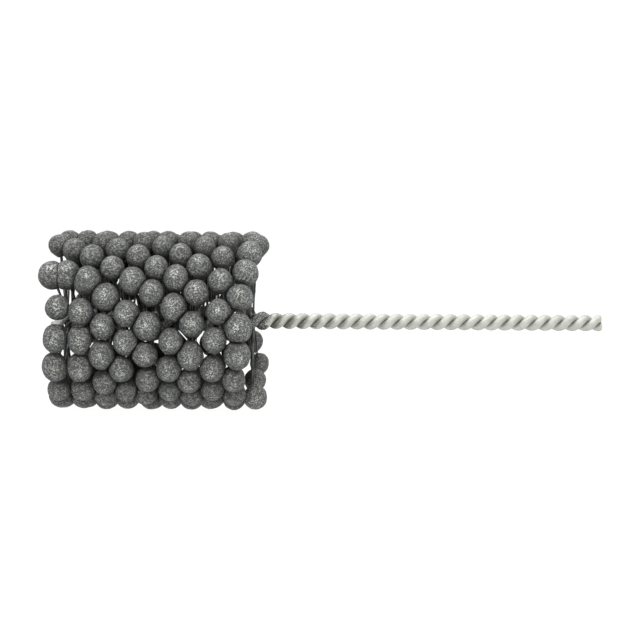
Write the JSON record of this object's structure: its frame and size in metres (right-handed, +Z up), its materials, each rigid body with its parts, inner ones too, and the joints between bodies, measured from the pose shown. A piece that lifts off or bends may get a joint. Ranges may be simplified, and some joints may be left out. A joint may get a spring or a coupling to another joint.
{
  "type": "flexible ball hone",
  "caption": "Flexible cylinder hone: abrasive balls on nylon filaments held in a stem of two twisted wires, driven by its plain shank.",
  "frame": {"origin": "on the stem's axis, in the plane of its cut drive end", "axes": "+X along the stem from the tip out of the drive end, +Z up as it lies on a bench"},
  "size_m": [0.3461, 0.1114, 0.111],
  "materials": {
    "zinc_wire": "satin zinc plate, lightly dulled",
    "nylon_filament": "smooth drawn nylon",
    "abrasive": "coarse silicon carbide grit in resin"
  },
  "bodies": {
    "stem": {"stem_wire_a": "zinc_wire", "stem_wire_b": "zinc_wire"},
    "tufts": {"filament_tufts_01": "nylon_filament", "filament_tufts_02": "nylon_filament", "filament_tufts_03": "nylon_filament", "filament_tufts_04": "nylon_filament", "filament_tufts_05": "nylon_filament", "filament_tufts_06": "nylon_filament", "filament_tufts_07": "nylon_filament", "filament_tufts_08": "nylon_filament", "filament_tufts_09": "nylon_filament", "filament_tufts_10": "nylon_filament", "filament_tufts_11": "nylon_filament", "filament_tufts_12": "nylon_filament", "filament_tufts_13": "nylon_filament", "filament_tufts_14": "nylon_filament", "filament_tufts_15": "nylon_filament", "filament_tufts_16": "nylon_filament", "filament_tufts_17": "nylon_filament"},
    "row_01": {"ball_row_01": "abrasive"},
    "row_02": {"ball_row_02": "abrasive"},
    "row_03": {"ball_row_03": "abrasive"},
    "row_04": {"ball_row_04": "abrasive"},
    "row_05": {"ball_row_05": "abrasive"},
    "row_06": {"ball_row_06": "abrasive"},
    "row_07": {"ball_row_07": "abrasive"},
    "row_08": {"ball_row_08": "abrasive"},
    "row_09": {"ball_row_09": "abrasive"},
    "row_10": {"ball_row_10": "abrasive"},
    "row_11": {"ball_row_11": "abrasive"},
    "row_12": {"ball_row_12": "abrasive"},
    "row_13": {"ball_row_13": "abrasive"},
    "row_14": {"ball_row_14": "abrasive"},
    "row_15": {"ball_row_15": "abrasive"},
    "row_16": {"ball_row_16": "abrasive"},
    "row_17": {"ball_row_17": "abrasive"},
    "row_18": {"ball_row_18": "abrasive"},
    "row_19": {"ball_row_19": "abrasive"},
    "row_20": {"ball_row_20": "abrasive"},
    "row_21": {"ball_row_21": "abrasive"},
    "row_22": {"ball_row_22": "abrasive"},
    "row_23": {"ball_row_23": "abrasive"},
    "row_24": {"ball_row_24": "abrasive"},
    "row_25": {"ball_row_25": "abrasive"},
    "row_26": {"ball_row_26": "abrasive"},
    "row_27": {"ball_row_27": "abrasive"},
    "row_28": {"ball_row_28": "abrasive"},
    "row_29": {"ball_row_29": "abrasive"},
    "row_30": {"ball_row_30": "abrasive"},
    "row_31": {"ball_row_31": "abrasive"},
    "row_32": {"ball_row_32": "abrasive"},
    "row_33": {"ball_row_33": "abrasive"},
    "row_34": {"ball_row_34": "abrasive"}
  },
  "joints": [
    {"name": "tuft_layback", "type": "hinge", "parent": "stem", "child": "tufts", "pos_m": [0, 0, 0], "axis": [1, 0, 0], "range_deg": [-12, 12], "stiffness_Nm_per_rad": 3.7, "deforming": ["filament_tufts_01", "filament_tufts_02", "filament_tufts_03", "filament_tufts_04", "filament_tufts_05", "filament_tufts_06", "filament_tufts_07", "filament_tufts_08", "filament_tufts_09", "filament_tufts_10", "filament_tufts_11", "filament_tufts_12", "filament_tufts_13", "filament_tufts_14", "filament_tufts_15", "filament_tufts_16", "filament_tufts_17"]},
    {"name": "row_01_give", "type": "slide", "parent": "tufts", "child": "row_01", "axis": [0, -0.0923, 0.9957], "range_m": [0, 0.004], "stiffness_N_per_m": 1500, "springref_m": -0.003},
    {"name": "row_02_give", "type": "slide", "parent": "tufts", "child": "row_02", "axis": [0, -0.2737, 0.9618], "range_m": [0, 0.004], "stiffness_N_per_m": 1500, "springref_m": -0.003},
    {"name": "row_03_give", "type": "slide", "parent": "tufts", "child": "row_03", "axis": [0, -0.4457, 0.8952], "range_m": [0, 0.004], "stiffness_N_per_m": 1500, "springref_m": -0.003},
    {"name": "row_04_give", "type": "slide", "parent": "tufts", "child": "row_04", "axis": [0, -0.6026, 0.798], "range_m": [0, 0.004], "stiffness_N_per_m": 1500, "springref_m": -0.003},
    {"name": "row_05_give", "type": "slide", "parent": "tufts", "child": "row_05", "axis": [0, -0.739, 0.6737], "range_m": [0, 0.004], "stiffness_N_per_m": 1500, "springref_m": -0.003},
    {"name": "row_06_give", "type": "slide", "parent": "tufts", "child": "row_06", "axis": [0, -0.8502, 0.5264], "range_m": [0, 0.004], "stiffness_N_per_m": 1500, "springref_m": -0.003},
    {"name": "row_07_give", "type": "slide", "parent": "tufts", "child": "row_07", "axis": [0, -0.9325, 0.3612], "range_m": [0, 0.004], "stiffness_N_per_m": 1500, "springref_m": -0.003},
    {"name": "row_08_give", "type": "slide", "parent": "tufts", "child": "row_08", "axis": [0, -0.983, 0.1838], "range_m": [0, 0.004], "stiffness_N_per_m": 1500, "springref_m": -0.003},
    {"name": "row_09_give", "type": "slide", "parent": "tufts", "child": "row_09", "axis": [0, -1, 0], "range_m": [0, 0.004], "stiffness_N_per_m": 1500, "springref_m": -0.003},
    {"name": "row_10_give", "type": "slide", "parent": "tufts", "child": "row_10", "axis": [0, -0.983, -0.1838], "range_m": [0, 0.004], "stiffness_N_per_m": 1500, "springref_m": -0.003},
    {"name": "row_11_give", "type": "slide", "parent": "tufts", "child": "row_11", "axis": [0, -0.9325, -0.3612], "range_m": [0, 0.004], "stiffness_N_per_m": 1500, "springref_m": -0.003},
    {"name": "row_12_give", "type": "slide", "parent": "tufts", "child": "row_12", "axis": [0, -0.8502, -0.5264], "range_m": [0, 0.004], "stiffness_N_per_m": 1500, "springref_m": -0.003},
    {"name": "row_13_give", "type": "slide", "parent": "tufts", "child": "row_13", "axis": [0, -0.739, -0.6737], "range_m": [0, 0.004], "stiffness_N_per_m": 1500, "springref_m": -0.003},
    {"name": "row_14_give", "type": "slide", "parent": "tufts", "child": "row_14", "axis": [0, -0.6026, -0.798], "range_m": [0, 0.004], "stiffness_N_per_m": 1500, "springref_m": -0.003},
    {"name": "row_15_give", "type": "slide", "parent": "tufts", "child": "row_15", "axis": [0, -0.4457, -0.8952], "range_m": [0, 0.004], "stiffness_N_per_m": 1500, "springref_m": -0.003},
    {"name": "row_16_give", "type": "slide", "parent": "tufts", "child": "row_16", "axis": [0, -0.2737, -0.9618], "range_m": [0, 0.004], "stiffness_N_per_m": 1500, "springref_m": -0.003},
    {"name": "row_17_give", "type": "slide", "parent": "tufts", "child": "row_17", "axis": [0, -0.0923, -0.9957], "range_m": [0, 0.004], "stiffness_N_per_m": 1500, "springref_m": -0.003},
    {"name": "row_18_give", "type": "slide", "parent": "tufts", "child": "row_18", "axis": [0, 0.0923, -0.9957], "range_m": [0, 0.004], "stiffness_N_per_m": 1500, "springref_m": -0.003},
    {"name": "row_19_give", "type": "slide", "parent": "tufts", "child": "row_19", "axis": [0, 0.2737, -0.9618], "range_m": [0, 0.004], "stiffness_N_per_m": 1500, "springref_m": -0.003},
    {"name": "row_20_give", "type": "slide", "parent": "tufts", "child": "row_20", "axis": [0, 0.4457, -0.8952], "range_m": [0, 0.004], "stiffness_N_per_m": 1500, "springref_m": -0.003},
    {"name": "row_21_give", "type": "slide", "parent": "tufts", "child": "row_21", "axis": [0, 0.6026, -0.798], "range_m": [0, 0.004], "stiffness_N_per_m": 1500, "springref_m": -0.003},
    {"name": "row_22_give", "type": "slide", "parent": "tufts", "child": "row_22", "axis": [0, 0.739, -0.6737], "range_m": [0, 0.004], "stiffness_N_per_m": 1500, "springref_m": -0.003},
    {"name": "row_23_give", "type": "slide", "parent": "tufts", "child": "row_23", "axis": [0, 0.8502, -0.5264], "range_m": [0, 0.004], "stiffness_N_per_m": 1500, "springref_m": -0.003},
    {"name": "row_24_give", "type": "slide", "parent": "tufts", "child": "row_24", "axis": [0, 0.9325, -0.3612], "range_m": [0, 0.004], "stiffness_N_per_m": 1500, "springref_m": -0.003},
    {"name": "row_25_give", "type": "slide", "parent": "tufts", "child": "row_25", "axis": [0, 0.983, -0.1838], "range_m": [0, 0.004], "stiffness_N_per_m": 1500, "springref_m": -0.003},
    {"name": "row_26_give", "type": "slide", "parent": "tufts", "child": "row_26", "axis": [0, 1, 0], "range_m": [0, 0.004], "stiffness_N_per_m": 1500, "springref_m": -0.003},
    {"name": "row_27_give", "type": "slide", "parent": "tufts", "child": "row_27", "axis": [0, 0.983, 0.1838], "range_m": [0, 0.004], "stiffness_N_per_m": 1500, "springref_m": -0.003},
    {"name": "row_28_give", "type": "slide", "parent": "tufts", "child": "row_28", "axis": [0, 0.9325, 0.3612], "range_m": [0, 0.004], "stiffness_N_per_m": 1500, "springref_m": -0.003},
    {"name": "row_29_give", "type": "slide", "parent": "tufts", "child": "row_29", "axis": [0, 0.8502, 0.5264], "range_m": [0, 0.004], "stiffness_N_per_m": 1500, "springref_m": -0.003},
    {"name": "row_30_give", "type": "slide", "parent": "tufts", "child": "row_30", "axis": [0, 0.739, 0.6737], "range_m": [0, 0.004], "stiffness_N_per_m": 1500, "springref_m": -0.003},
    {"name": "row_31_give", "type": "slide", "parent": "tufts", "child": "row_31", "axis": [0, 0.6026, 0.798], "range_m": [0, 0.004], "stiffness_N_per_m": 1500, "springref_m": -0.003},
    {"name": "row_32_give", "type": "slide", "parent": "tufts", "child": "row_32", "axis": [0, 0.4457, 0.8952], "range_m": [0, 0.004], "stiffness_N_per_m": 1500, "springref_m": -0.003},
    {"name": "row_33_give", "type": "slide", "parent": "tufts", "child": "row_33", "axis": [0, 0.2737, 0.9618], "range_m": [0, 0.004], "stiffness_N_per_m": 1500, "springref_m": -0.003},
    {"name": "row_34_give", "type": "slide", "parent": "tufts", "child": "row_34", "axis": [0, 0.0923, 0.9957], "range_m": [0, 0.004], "stiffness_N_per_m": 1500, "springref_m": -0.003}
  ]
}
